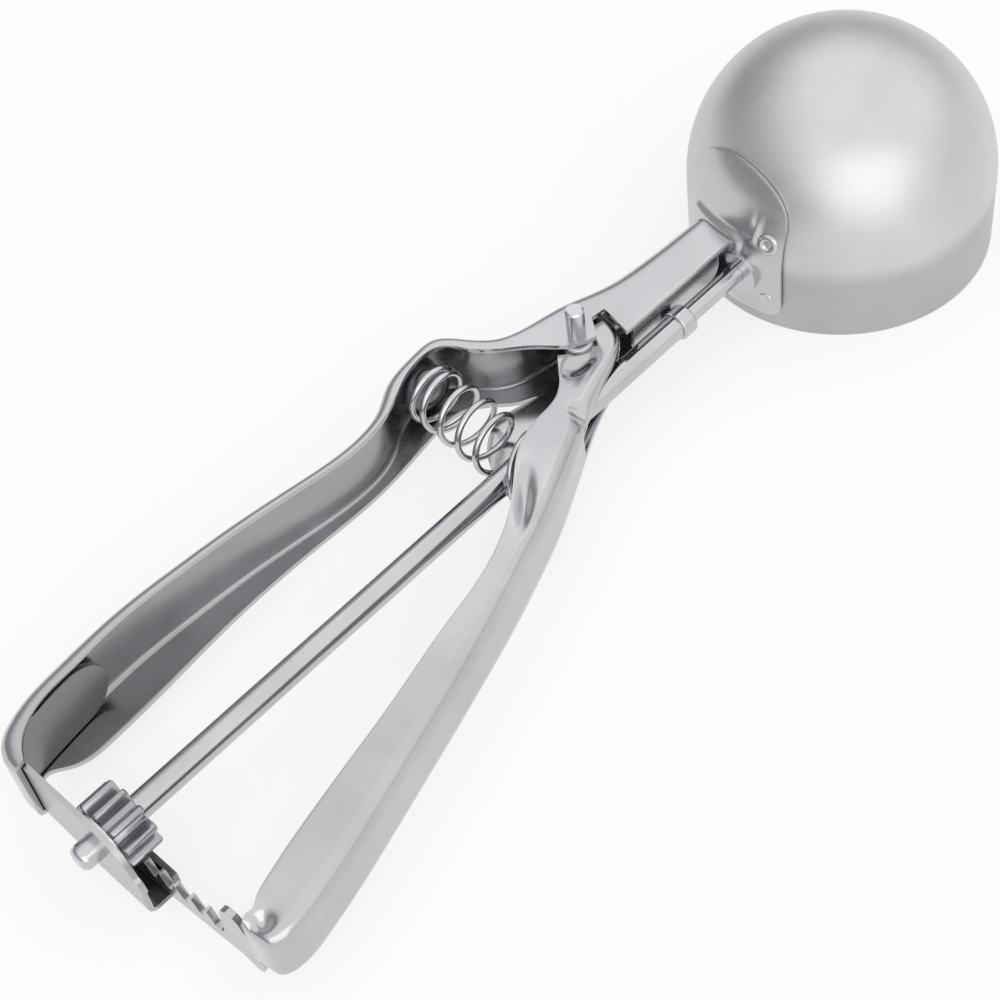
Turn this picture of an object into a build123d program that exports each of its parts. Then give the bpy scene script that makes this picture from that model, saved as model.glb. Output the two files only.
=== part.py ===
from build123d import *
from math import cos, pi, radians, sin, sqrt, tan
import os

# Lever ice cream scoop, millimetres.
# Shapes are drawn with the drive shaft's axis along X at height zero, the middle of the
# bowl at X = 0, the handles towards -X, Y across the handles and Z up.
# When they are written they are moved so that the origin is the middle of the whole
# scoop seen from above, at the level of the table that the bowl's rim stands on.

# ---- driving dimensions -------------------------------------------------
sheet = 1.0                    # steel sheet of the handles and the tail bracket
fit_gap = 0.05                 # radial clearance of a shaft or pin that turns
loose_gap = 0.4                # clearance between parts that only pass each other

# bowl
bowl_radius = 28.6             # outside
bowl_wall = 0.8
shaft_height = 12.0            # shaft axis above the rim
dome_rise = 3.0                # centre of the dome above the shaft axis

# drive shaft
shaft_radius = 2.3
rod_radius = 1.8               # thinner rod from the crimp to the blade
shaft_tail_x = -187.4
shaft_nose = 1.2               # rounding of the shaft's tail end
crimp_x = -46.0
crimp_length = 3.2
crimp_wall = 0.6
rod_socket = 6.0               # depth of the rod inside the shaft
bush_wall = 1.35
bush_flange = 1.0

# cross plate at the tail, and its hook under the rack
plate_x = -183.6               # outer face
plate_top_y = 18.4
plate_height = 6.4             # half the height of the bracket's leg
plate_floor_z = -8.0
leg_end_x = -162.0
hook_low_y = -9.0
hook_high_y = 8.0
hook_floor_z = -11.9
hook_top_z = -7.4

# pinion
pinion_length = 6.4
pinion_teeth = 10
tooth_module = 1.1
tooth_backlash = 0.6
pressure_angle = 20.0
washer_radius = 5.4
washer_thickness = 0.5
washer_gap = 0.05

# pivot of the moving handle
pivot_x = -64.2
pivot_y = 7.75
pin_radius = 1.7
pin_stand = 6.7                # pin above the upper ear
pin_head = 1.3                 # peened head below the lower ear
pin_head_radius = 2.7
pivot_washer_radius = 4.2
pivot_washer_thickness = 0.7
pivot_play = 0.1               # along the pin, on each side of the moving handle

# fixed handle
tail_height = 7.8              # half the height of the channel at the tail
shank_width = 10.2
shank_y = 9.9                  # outer face of the shank's web
handle_lip = 2.2               # width of the upper flange
handle_round = 1.8             # outer bend radius of both handles
tail_lip_y = 16.4              # lower end of the lip behind the cross plate
lip_gap = 0.2                  # between that lip and the cross plate
inset_spacing = 2.5            # distance between the points of an inner outline

# moving handle
lever_height = 5.2             # half the height of the channel at the pivot
lever_spring_height = 7.0      # the same where it holds the spring
lever_tail_height = 6.4
lever_far_y = -37.0            # outermost line of the grip
eye_radius = 4.6

# rack
rack_thickness = 1.2
rack_x = -179.4
rack_tilt = 3.0                # degrees from square to the shaft, at rest
rack_play = 0.1                # pitch lines apart
rack_backing = 3.1             # solid height below the tooth roots
rack_gullet = 0.5              # extra depth of the gaps between the teeth
rack_teeth_ahead = 1
rack_teeth_behind = 6
stop_start = 23.6              # stop tabs, distances along the rack from the shaft
stop_end = 30.0
stop_top_z = 5.0
foot_start = 25.8
rack_root = 32.5

# spring
wire_radius = 0.6
coil_radius = 5.2
spring_top = (-85.8, 23.5)     # wire's centre line at the two ends, seen from above
spring_low = (-88.2, -6.6)
spring_open_turns = 4
spring_closed_pitch = 1.3
spring_step = 3.55             # half the step of the coil that passes over the shaft

# saddle and rivets
saddle_thickness = 1.0
saddle_low_y = -8.6
saddle_high_y = 15.8
saddle_shoulder_z = 12.0
saddle_top_z = 20.5
saddle_floor_z = -8.5
saddle_corner = 3.0
rivet_radius = 1.5
rivet_head = 0.9
rivet_head_radius = 2.4
rivet_inset = 2.8              # rivets from the saddle's sides
eyelet_z = 9.0                 # height of the upper rivets above the shaft's axis
dimple_z = -4.2                # height of the lower rivets

# scraper blade
blade_thickness = 0.8
blade_width = 9.0
blade_gap = 0.3
blade_rest_angle = 7.0         # above level, on the fixed handle's side
hub_radius = 3.5
hub_length = 1.5

# ---- sizes that follow from them ----------------------------------------
ear_inner = lever_height + pivot_play + pivot_washer_thickness
ear_height = ear_inner + sheet                    # half the height of the channel at the ears
tail_x = plate_x - sheet - lip_gap                # outer face of the handle's tail lip
tail_corner = 6.2
shank_end_x = -23.0
pinion_radius = pinion_teeth * tooth_module / 2
tooth_pitch = pi * tooth_module
tooth_half = (tooth_pitch - tooth_backlash) / 4   # half the tooth on the pitch line
washer_x = plate_x + sheet + washer_gap
pinion_x = washer_x + washer_thickness + 2 * washer_gap
pitch_z = -pinion_radius - rack_play
rack_root_z = pitch_z - 1.25 * tooth_module - rack_gullet
rack_floor_z = rack_root_z - rack_backing
saddle_radius = bowl_radius + saddle_thickness
blade_radius = bowl_radius - bowl_wall - blade_gap
origin_x = (shaft_tail_x + bowl_radius + rivet_head) / 2
origin_y = (bowl_radius + lever_far_y) / 2


# ---- shared shapes ------------------------------------------------------
def rod_x(radius, low_x, high_x, y=0.0, z=0.0):
    """Cylinder along X between two stations."""
    return Pos((low_x + high_x) / 2, y, z) * Rot(0, 90, 0) * Cylinder(radius, high_x - low_x)


def rod_z(radius, low_z, high_z, x=pivot_x, y=pivot_y):
    """Cylinder along Z, on the pivot unless told otherwise."""
    return Pos(x, y, (low_z + high_z) / 2) * Cylinder(radius, high_z - low_z)


def block(low, high):
    """Box between two corners."""
    size = [b - a for a, b in zip(low, high)]
    middle = [(a + b) / 2 for a, b in zip(low, high)]
    return Pos(*middle) * Box(*size)


def closed_plan(edges, far_y):
    """Face between an outline and a line far on the side where the channel is open."""
    start = edges[0] @ 0
    end = edges[-1] @ 1
    back = Polyline((end.X, end.Y), (end.X, far_y), (start.X, far_y), (start.X, start.Y))
    return make_face(Wire(list(edges) + back.edges()))


def inset_outline(edges, distance):
    """The same outline moved towards the channel's inside."""
    moved = []
    for edge in edges:
        steps = max(1, int(edge.length / inset_spacing))
        points = []
        for step in range(steps + 1):
            along = edge % (step / steps)
            points.append((edge @ (step / steps)) + Vector(along.Y, -along.X) * distance)
        straight = (edge @ 0.5 - (edge @ 0 + edge @ 1) / 2).length < 1e-6
        moved.append(Line(points[0], points[-1]) if straight else Spline(*points))
    return moved


def plan_face(*curves):
    """Plan face from curves that follow each other, closed by a straight line if needed."""
    edges = [edge for curve in curves for edge in curve.edges()]
    start = edges[0] @ 0
    end = edges[-1] @ 1
    if (start - end).length > 1e-6:
        edges.append(Edge.make_line(end, start))
    return make_face(Wire(edges))


def prism(face, low, high):
    """Straight solid over a plan face between two heights."""
    return extrude(Plane.XY.offset(low) * face, high - low, dir=(0, 0, 1))


def side_edges(points):
    """Side view's edge: straight between equal heights, an even ramp between unequal ones."""
    edges = []
    for start, end in zip(points, points[1:]):
        if start[1] == end[1]:
            edges.append(Line(start, end))
        else:
            level = (1, 0) if end[0] > start[0] else (-1, 0)
            edges.append(Spline(start, end, tangents=[level, level]))
    return edges


def height_profile(stations, inset=0.0, width=200.0):
    """Side view of a channel from stations of X and half height, as a solid."""
    upper = [(x, h - inset) for x, h in stations]
    lower = [(x, inset - h) for x, h in reversed(stations)]
    edges = side_edges(upper) + [Line(upper[-1], lower[0])] + side_edges(lower) + [Line(lower[-1], upper[0])]
    return extrude(make_face(Plane.XZ * Wire(edges)), width, both=True)


def rounded_web(solid, outline, radius):
    """Round the bends between a channel's web and its flanges."""
    web_line = Wire(outline)
    bends = []
    for edge in solid.edges():
        middle = edge @ 0.5
        on_web = web_line.distance_to(Vector(middle.X, middle.Y, 0)) < 0.01
        if on_web and abs(middle.Z) > lever_height - sheet - 0.01:
            bends.append(edge)
    return fillet(bends, radius)


def dome_solid(radius, floor=-60.0):
    """Solid dome on a straight skirt, as large as the radius says."""
    dome = Pos(0, 0, dome_rise) * Sphere(radius)
    skirt = rod_z(radius, floor, dome_rise, 0, 0)
    return (dome & block((-60, -60, dome_rise), (60, 60, 60))) + skirt


def on_bowl(y, z, radius=saddle_radius):
    """Plane on the saddle's outside at a height and a side place, facing outwards."""
    rise = max(z - dome_rise, 0.0)
    x = -sqrt(radius ** 2 - y ** 2 - rise ** 2)
    return Plane(origin=(x, y, z), x_dir=(0, 0, 1), z_dir=(x, y, rise))


# ---- fixed handle -------------------------------------------------------
def fixed_outline():
    """Outer edge of the fixed handle seen from above, from the tail lip to the bowl."""
    lip = Line((tail_x, tail_lip_y - 3), (tail_x, plate_top_y))
    grip_start = (tail_x + tail_corner, 23.4)
    corner = Spline((tail_x, plate_top_y), grip_start, tangents=[(0, 1), (1, 0.16)])
    neck = (-106.0, 21.2)
    grip = Spline(grip_start, (-157.0, 25.5), (-130.0, 23.9), neck, tangents=[(1, 0.16), (1, 0)])
    ear = (-61.0, 14.9)
    lobe = Spline(neck, (-97.6, 22.9), (-92.4, 26.4), (-85.6, 28.4), (-79.4, 27.4), (-76.4, 22.8),
                  (-72.6, 18.0), ear, tangents=[(1, 0), (1, -0.26)])
    shoulder = Spline(ear, (-53.0, 12.5), (-42.0, shank_y), tangents=[(1, -0.26), (1, 0)])
    shank = Line((-42.0, shank_y), (shank_end_x, shank_y))
    return [lip, corner, grip, lobe, shoulder, shank]


def fixed_handle():
    """One stamped channel: grip, spring lobe, pivot ears and shank."""
    outline = fixed_outline()
    plan = closed_plan(outline, -40)
    stations = [(tail_x - 5, tail_height), (-178.0, tail_height), (-98.0, ear_height), (40.0, ear_height)]

    lip_edge = Spline((-178.0, 23.0 - handle_lip), (-157.0, 25.4 - handle_lip), (-106.0, 21.4 - handle_lip),
                      (-95.0, 21.4), (-85.0, 25.6), (-78.4, 20.4))
    tail_edge = Polyline((-188.0, tail_lip_y), (-183.0, tail_lip_y), (-178.0, 23.0 - handle_lip))
    ear_edge = Spline((-78.4, 20.4), (-71.0, 11.6), (-66.5, 4.4), (-62.6, 3.6),
                      tangents=[(0.6, -1), (1, 0.3)])
    notch = Polyline((-62.6, 3.6), (-60.8, 8.0), (-57.0, 7.4), (-58.6, shank_y - shank_width),
                     (shank_end_x, shank_y - shank_width), (shank_end_x, 60), (-188.0, 60))
    upper_plan = plan_face(tail_edge, lip_edge, ear_edge, notch)

    low_tail = Polyline((-188.0, tail_lip_y), (-183.0, tail_lip_y), (-178.4, 21.0), (-177.0, 18.0))
    low_edge = Spline((-177.0, 18.0), (-161.0, 17.4), (-137.0, 19.0), (-106.0, 18.6), (-95.0, 20.0),
                      (-84.0, 21.0), (-77.5, 17.0))
    low_ear = Spline((-77.5, 17.0), (-71.0, 11.6), (-66.5, 4.4), (-62.6, 3.6), tangents=[(1, -0.8), (1, 0.3)])
    lower_plan = plan_face(low_tail, low_edge, low_ear, notch)

    blank = rounded_web(prism(plan, -10, 10) & height_profile(stations), outline, handle_round)
    inner_plan = closed_plan(inset_outline(outline, sheet), -60)
    hollow = prism(inner_plan, -10, 10) & height_profile(stations, sheet)
    body = blank & (prism(upper_plan, 0, 12) + prism(lower_plan, -12, 0))
    body -= hollow
    body -= dome_solid(saddle_radius)
    pin_hole = rod_z(pin_radius, -30, 30)
    loose_hole = rod_z(pin_radius + 0.25, 0, 30)
    return body - pin_hole - loose_hole


# ---- tail bracket -------------------------------------------------------
def tail_bracket():
    """Leg inside the fixed handle, cross plate for the shaft, and hook that guides the rack."""
    outline = fixed_outline()
    band = prism(closed_plan(inset_outline(outline, sheet), -40), -plate_height, plate_height)
    band -= prism(closed_plan(inset_outline(outline, 2 * sheet), -60), -10, 10)
    leg_end = Pos(leg_end_x - plate_height, 0, 0) * Rot(90, 0, 0) * Cylinder(plate_height, 80)
    leg_side = block((plate_x, tail_lip_y, -10), (leg_end_x - plate_height, 40, 10))
    leg = band & (leg_side + (leg_end & block((-190, tail_lip_y, -10), (0, 40, 10))))

    top = Line((plate_top_y, plate_height), (1.0, plate_height))
    crown = Spline((1.0, plate_height), (-5.6, 4.6), (-8.7, -0.8), tangents=[(-1, 0), (-0.15, -1)])
    nib = Spline((-8.7, -0.8), (-9.9, -3.2), (-9.0, -5.4), tangents=[(-1, -0.6), (1, -0.6)])
    floor = Polyline((-9.0, -5.4), (hook_low_y, hook_floor_z + sheet), (hook_high_y, hook_floor_z + sheet),
                     (hook_high_y, plate_floor_z), (plate_top_y, plate_floor_z + 1.2),
                     (plate_top_y, plate_height))
    plate_face = make_face(Plane.YZ * Wire(top.edges() + crown.edges() + nib.edges() + floor.edges()))
    plate = Pos(plate_x, 0, 0) * extrude(plate_face, sheet, dir=(1, 0, 0))

    rack_room = 0.5 * rack_thickness + hook_front_reach()
    front_x = rack_x + rack_room
    outer = block((plate_x, hook_low_y, hook_floor_z), (front_x + sheet, hook_high_y, hook_top_z))
    outer = fillet(outer.edges().filter_by(Axis.Y).group_by(Axis.Z)[0], 2.0)
    inner = block((plate_x + sheet, hook_low_y - 1, hook_floor_z + sheet), (front_x, hook_high_y + 1, 0))
    inner = fillet(inner.edges().filter_by(Axis.Y).group_by(Axis.Z)[0], 0.5)
    hook = outer - inner
    plate -= block((plate_x - 1, hook_low_y - 1, hook_floor_z - 1), (plate_x + 2, hook_high_y, hook_top_z - 1))
    body = plate + hook + leg
    return body - rod_x(shaft_radius + fit_gap, plate_x - 1, plate_x + 2)


def hook_front_reach():
    """Room in front of the rack's middle line that the tilted rack needs inside the hook."""
    return -hook_low_y * tan(radians(rack_tilt)) + loose_gap


# ---- moving handle ------------------------------------------------------
def rack_outer(s):
    """Point of the rack's outer face at a distance along it from the shaft."""
    tilt = radians(rack_tilt)
    return (rack_x - 0.5 * rack_thickness / cos(tilt) + s * sin(tilt), -s * cos(tilt))


def lever_outline():
    """Outer edge of the moving handle seen from above, from the pivot to the end wall."""
    bend_start = (-174.6, lever_far_y)
    wrap = Spline((-57.4, 10.6), (-59.2, 4.0), (-67.0, -0.2), (-75.0, -4.4), (-92.0, -12.9), (-116.0, -21.6),
                  (-140.0, -28.8), (-163.0, -35.0), bend_start, tangents=[(0, -1), (-1, 0)],
                  tangent_scalars=[0.4, 0.4])
    tilt = radians(rack_tilt)
    corner = Spline(bend_start, (-179.0, -35.2), rack_outer(rack_root), tangents=[(-1, 0), (-sin(tilt), cos(tilt))])
    wall = Line(rack_outer(rack_root), rack_outer(stop_end + loose_gap))
    return [wrap, corner, wall]


def tooth_points(middle, side):
    """Half a rack tooth, root first when side is +1 and tip first when side is -1."""
    slope = tan(radians(pressure_angle))
    root_half = tooth_half + (pitch_z - rack_root_z) * slope
    tip_half = tooth_half - tooth_module * slope
    points = [(middle + side * root_half, rack_root_z), (middle + side * tip_half, pitch_z + tooth_module)]
    return points if side > 0 else points[::-1]


def rack_plate():
    """Toothed end of the moving handle, with its stop tab above and its foot below."""
    far_tooth = (rack_teeth_ahead - 0.5) * tooth_pitch
    end_y = far_tooth + tooth_pitch / 2
    profile = [(end_y, rack_floor_z), (end_y, rack_root_z)]
    for index in range(rack_teeth_ahead + rack_teeth_behind):
        middle = far_tooth - index * tooth_pitch
        profile += tooth_points(middle, 1) + tooth_points(middle, -1)
    profile += [(-stop_start + 0.8, rack_root_z), (-stop_start, rack_root_z + 1.2)]
    profile += [(-stop_start - 0.5, stop_top_z), (-stop_end, stop_top_z), (-stop_end, 2.6)]
    profile += [(-rack_root, 2.6), (-rack_root, -lever_height), (-stop_end - loose_gap, -lever_height)]
    profile += [(-stop_end - loose_gap, -lever_height - 1), (-stop_end, -lever_height - 1)]
    profile += [(-stop_end + 0.4, -shaft_height), (-stop_end + 1.6, -shaft_height), (-foot_start, rack_floor_z)]
    face = make_face(Plane.YZ * Polyline(*profile, close=True))
    plate = extrude(face, rack_thickness / 2, both=True)
    crown = plate.edges().filter_by(Axis.X).group_by(Axis.Z)[-1]
    plate = fillet(crown, 2.2)
    return Pos(rack_x, 0, 0) * Rot(0, 0, rack_tilt) * plate


def moving_handle():
    """Pressed channel with the pivot eyes, the spring's seat, the grip and the rack."""
    outline = lever_outline()
    plan = closed_plan(outline, 40)
    stations = [(-40.0, lever_height), (-73.0, lever_height), (-86.0, lever_spring_height),
                (-92.0, lever_spring_height), (-114.0, lever_tail_height), (-195.0, lever_tail_height)]

    free_edge = Spline((-190.0, -33.6), (-172.0, -30.0), (-134.0, -21.4), (-107.0, -15.4), (-97.6, -9.4),
                       (-88.2, -2.8), (-80.0, -1.4), (-73.0, 3.0), (-69.0, 8.0))
    eye_side = [(-66.0, 11.0), (-58.0, 10.6), (-50.0, 10.6), (-50.0, -60.0), (-190.0, -60.0)]
    upper_plan = plan_face(free_edge, Polyline((-69.0, 8.0), *eye_side))
    shelf = Spline((-190.0, -33.6), (-172.0, -30.0), (-134.0, -21.4), (-107.0, -14.8), (-98.6, -7.4),
                   (-94.4, 1.0), (-90.6, 9.4), (-84.6, 13.6), (-77.6, 12.6), (-71.0, 10.6))
    lower_plan = plan_face(shelf, Polyline((-71.0, 10.6), *eye_side))

    blank = rounded_web(prism(plan, -10, 10) & height_profile(stations), outline, handle_round)
    inner_plan = closed_plan(inset_outline(outline, sheet), 60)
    hollow = prism(inner_plan, -10, 10) & height_profile(stations, sheet)
    body = blank & (prism(upper_plan, 0, 12) + prism(lower_plan, -12, 0))
    body -= hollow
    window_half = shaft_radius + loose_gap
    body -= block((-84.0, -14.0, -window_half), (-58.6, 10.0, window_half))
    eyes = rod_z(eye_radius, -lever_height, lever_height) - rod_z(eye_radius + 1, sheet - lever_height,
                                                                  lever_height - sheet)
    body = body + eyes + rack_plate()
    return body - rod_z(pin_radius + fit_gap, -30, 30)


# ---- pivot --------------------------------------------------------------
def pivot_pin():
    """Pin through both ears: it stands above the upper one and is peened under the lower one."""
    shank = rod_z(pin_radius, -ear_height, ear_height + pin_stand)
    shank = chamfer(shank.edges().sort_by(Axis.Z)[-1], 0.35)
    head = rod_z(pin_head_radius, -ear_height - pin_head, -ear_height)
    head = fillet(head.edges().sort_by(Axis.Z)[0], 0.8)
    return shank + head


def pivot_washer(side):
    """Washer between an ear and the moving handle, above when side is +1."""
    low = min(side * (ear_inner - pivot_washer_thickness), side * ear_inner)
    ring = rod_z(pivot_washer_radius, low, low + pivot_washer_thickness)
    return ring - rod_z(pin_radius, low - 1, low + 2)


# ---- return spring ------------------------------------------------------
def spring_height(turn):
    """Distance along the spring at a turn: closed end, open coils, step over the shaft, closed end."""
    top = Vector(*spring_top)
    low = Vector(*spring_low)
    length = (low - top).length
    crossing = length * spring_top[1] / (spring_top[1] - spring_low[1])
    step_start = crossing - spring_step
    open_pitch = (step_start - spring_closed_pitch) / spring_open_turns
    if turn < 1:
        return spring_closed_pitch * turn
    if turn < 1 + spring_open_turns:
        return spring_closed_pitch + open_pitch * (turn - 1)
    step_turn = 1 + spring_open_turns
    if turn < step_turn + 0.5:
        return step_start + 2 * spring_step * (turn - step_turn) / 0.5
    return crossing + spring_step + (length - crossing - spring_step) * (turn - step_turn - 0.5)


def return_spring():
    """Compression spring between the handles; one coil steps over the drive shaft."""
    top = Vector(*spring_top)
    along = (Vector(*spring_low) - top).normalized()
    across = Vector(0, 0, 1).cross(along)
    steps_per_turn = 8
    turns = 1 + spring_open_turns + 0.5 + 1
    points = []
    for step in range(int(turns * steps_per_turn) + 1):
        turn = step / steps_per_turn
        angle = 2 * pi * turn
        ring = across * (coil_radius * cos(angle)) + Vector(0, 0, coil_radius * sin(angle))
        points.append(top + along * spring_height(turn) + ring)
    path = Spline(*points)
    section = Plane(origin=path @ 0, z_dir=path % 0) * Circle(wire_radius)
    return sweep(section, path=path)


# ---- drive shaft, pinion and blade --------------------------------------
def drive_shaft():
    """Shaft from the tail stub to the crimp, bored at its end for the blade rod."""
    shaft = rod_x(shaft_radius, shaft_tail_x, crimp_x)
    shaft = fillet(shaft.edges().sort_by(Axis.X)[0], shaft_nose)
    return shaft - rod_x(rod_radius, crimp_x - rod_socket, crimp_x + 1)


def blade_rod():
    """Thinner rod held in the shaft, running through the bush to the blade."""
    return rod_x(rod_radius, crimp_x - rod_socket, hub_face_x() + hub_length)


def crimp_collar():
    """Collar pressed over the joint between the shaft and the rod."""
    low = crimp_x - crimp_length / 2
    collar = rod_x(shaft_radius + crimp_wall, low, low + crimp_length)
    collar = fillet(collar.edges().filter_by(GeomType.CIRCLE), 0.4)
    return collar - rod_x(shaft_radius, low - 1, crimp_x) - rod_x(rod_radius, crimp_x - 1, crimp_x + 9)


def pinion():
    """Toothed wheel on the shaft, a tooth pointing straight down at rest."""
    outer = pinion_radius + tooth_module
    root = pinion_radius - 1.25 * tooth_module
    slope = tan(radians(pressure_angle))
    tip_half = tooth_half - tooth_module * slope
    flank = Polyline((-tip_half, outer), (-tooth_half, pinion_radius), (-tooth_half * 1.25, root - 0.4),
                     (tooth_half * 1.25, root - 0.4), (tooth_half, pinion_radius), (tip_half, outer), close=True)
    tooth = make_face(flank)
    wheel = make_face(CenterArc((0, 0), root, 0, 360))
    for index in range(pinion_teeth):
        wheel += Rot(0, 0, 360 * index / pinion_teeth) * tooth
    solid = extrude(Plane.YZ * Rot(0, 0, 180) * wheel, pinion_length, dir=(1, 0, 0))
    solid = Pos(pinion_x, 0, 0) * solid
    return solid - rod_x(shaft_radius, pinion_x - 1, pinion_x + pinion_length + 1)


def pinion_washer():
    """Washer on the shaft between the pinion and the cross plate."""
    ring = rod_x(washer_radius, washer_x, washer_x + washer_thickness)
    return ring - rod_x(shaft_radius, washer_x - 1, washer_x + 2)


def hub_face_x():
    """Where the blade's inside meets the shaft's axis on the handle's side."""
    return -(blade_radius - blade_thickness)


def scraper_blade():
    """Curved strip that follows the bowl's inside from the rod to the far pivot."""
    inner = blade_radius - blade_thickness
    shell = Sphere(blade_radius) - Sphere(inner)
    half = blade_width / 2
    strip = block((-40, 0, -half), (40, 40, half))
    ends = rod_x(half, -40, -20) + rod_x(half, 20, 40)
    blade = Rot(blade_rest_angle, 0, 0) * (shell & (strip + ends))
    blade -= rod_x(rod_radius, -40, 0)
    return blade - rod_x(rivet_radius + fit_gap, 0, 40)


def blade_hub():
    """Boss on the rod's end that the blade is fixed to."""
    disc = rod_x(hub_radius, hub_face_x() - 1, hub_face_x() + hub_length)
    return (disc & Sphere(blade_radius - blade_thickness)) - rod_x(rod_radius, -40, 0)


# ---- bowl and what is fixed to it ---------------------------------------
def bowl():
    """Half-round bowl with a straight skirt, open underneath."""
    shell = dome_solid(bowl_radius, -shaft_height) - dome_solid(bowl_radius - bowl_wall)
    shell -= rod_x(rod_radius + fit_gap + bush_wall, -40, 0)
    shell -= rod_x(rivet_radius, 0, 40)
    for z in (eyelet_z, dimple_z):
        for y in rivet_lines():
            shell -= rivet_bore(y, z)
    return shell


def rivet_lines():
    """The two upright lines that the rivets stand on, inside the saddle's two sides."""
    return (saddle_low_y + rivet_inset, saddle_high_y - rivet_inset)


def rivet_bore(y, z):
    """Hole through the saddle and the bowl's wall."""
    depth = saddle_thickness + bowl_wall
    return on_bowl(y, z) * Pos(0, 0, -depth) * Cylinder(rivet_radius, 3 * depth)


def saddle_plate():
    """Curved plate between the shank and the bowl, shaped like a rounded gate."""
    shell = dome_solid(saddle_radius, -shaft_height) - dome_solid(bowl_radius)
    middle = (saddle_low_y + saddle_high_y) / 2
    side = Line((saddle_low_y, saddle_floor_z), (saddle_low_y, saddle_shoulder_z))
    arch = Spline((saddle_low_y, saddle_shoulder_z), (middle, saddle_top_z), (saddle_high_y, saddle_shoulder_z),
                  tangents=[(0, 1), (0, -1)])
    base = Polyline((saddle_high_y, saddle_shoulder_z), (saddle_high_y, saddle_floor_z),
                    (saddle_low_y, saddle_floor_z))
    face = make_face(Plane.YZ * Wire(side.edges() + arch.edges() + base.edges()))
    gate = extrude(face, 60, dir=(-1, 0, 0))
    gate = fillet(gate.edges().filter_by(Axis.X).group_by(Axis.Z)[0], saddle_corner)
    plate = shell & gate
    plate -= rod_x(rod_radius + fit_gap + bush_wall, -60, 0)
    for z in (eyelet_z, dimple_z):
        for y in rivet_lines():
            plate -= rivet_bore(y, z)
    return plate


def bowl_rivets(z, eyelet):
    """Two rivets through the saddle and the bowl, flush inside; eyelets are dished on top."""
    rivets = []
    for y in rivet_lines():
        seat = on_bowl(y, z)
        depth = saddle_thickness + bowl_wall
        shank = seat * Pos(0, 0, -depth / 2) * Cylinder(rivet_radius, depth + 0.4)
        head = Pos(0, 0, rivet_head / 2) * Cylinder(rivet_head_radius, rivet_head)
        head = fillet(head.edges().sort_by(Axis.Z)[-1], 0.5)
        if eyelet:
            head -= Pos(0, 0, rivet_head) * Cylinder(rivet_radius - 0.6, 2.2)
        rivet = shank + seat * head
        rivet -= dome_solid(bowl_radius - bowl_wall)
        rivets.append(rivet)
    return Compound(children=rivets)


def shaft_bush():
    """Bearing of the blade rod in the bowl's wall, with a flange seated on the saddle."""
    outer = rod_radius + fit_gap + bush_wall
    sleeve = rod_x(outer, -saddle_radius - bush_flange, -20) - dome_solid(bowl_radius - bowl_wall)
    flange = rod_x(outer + 1.2, -saddle_radius - bush_flange, -20) - dome_solid(saddle_radius)
    return (sleeve + flange) - rod_x(rod_radius + fit_gap, -60, 0)


def far_pivot_rivet():
    """Rivet in the far wall that the blade's other end turns on."""
    peen_x = blade_radius - blade_thickness - fit_gap - 0.4 - washer_thickness
    shank = rod_x(rivet_radius, peen_x, bowl_radius)
    head = rod_x(rivet_radius + 1.4, bowl_radius - 1, bowl_radius + rivet_head)
    head = fillet(head.edges().sort_by(Axis.X)[-1], 0.6)
    head -= dome_solid(bowl_radius)
    peen = rod_x(rivet_radius + 0.9, peen_x - 0.9, peen_x)
    peen = fillet(peen.edges().sort_by(Axis.X)[0], 0.5)
    return shank + head + peen


def far_pivot_washer():
    """Washer between the blade and the far rivet's inner head."""
    low = blade_radius - blade_thickness - fit_gap - 0.4 - washer_thickness
    return rod_x(rivet_radius + 1.3, low, low + washer_thickness) - rod_x(rivet_radius, low - 1, low + 2)


# ---- writing ------------------------------------------------------------
def all_parts():
    """Every sub-part by its name, drawn about the shaft's axis."""
    return {
        "fixed_handle": fixed_handle(),
        "tail_bracket": tail_bracket(),
        "bowl": bowl(),
        "saddle_plate": saddle_plate(),
        "eyelet_rivets": bowl_rivets(eyelet_z, True),
        "saddle_rivets": bowl_rivets(dimple_z, False),
        "shaft_bush": shaft_bush(),
        "far_pivot_rivet": far_pivot_rivet(),
        "far_pivot_washer": far_pivot_washer(),
        "pivot_pin": pivot_pin(),
        "upper_pivot_washer": pivot_washer(1),
        "lower_pivot_washer": pivot_washer(-1),
        "return_spring": return_spring(),
        "moving_handle": moving_handle(),
        "drive_shaft": drive_shaft(),
        "blade_rod": blade_rod(),
        "crimp_collar": crimp_collar(),
        "pinion": pinion(),
        "pinion_washer": pinion_washer(),
        "scraper_blade": scraper_blade(),
        "blade_hub": blade_hub(),
    }


if __name__ == "__main__":
    os.makedirs("parts", exist_ok=True)
    for name, part in all_parts().items():
        export_step(Pos(-origin_x, -origin_y, shaft_height) * part, f"parts/{name}.step")
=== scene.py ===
from math import cos, radians, sin

import bmesh
import bpy
import numpy as np
from mathutils import Matrix, Vector


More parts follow.
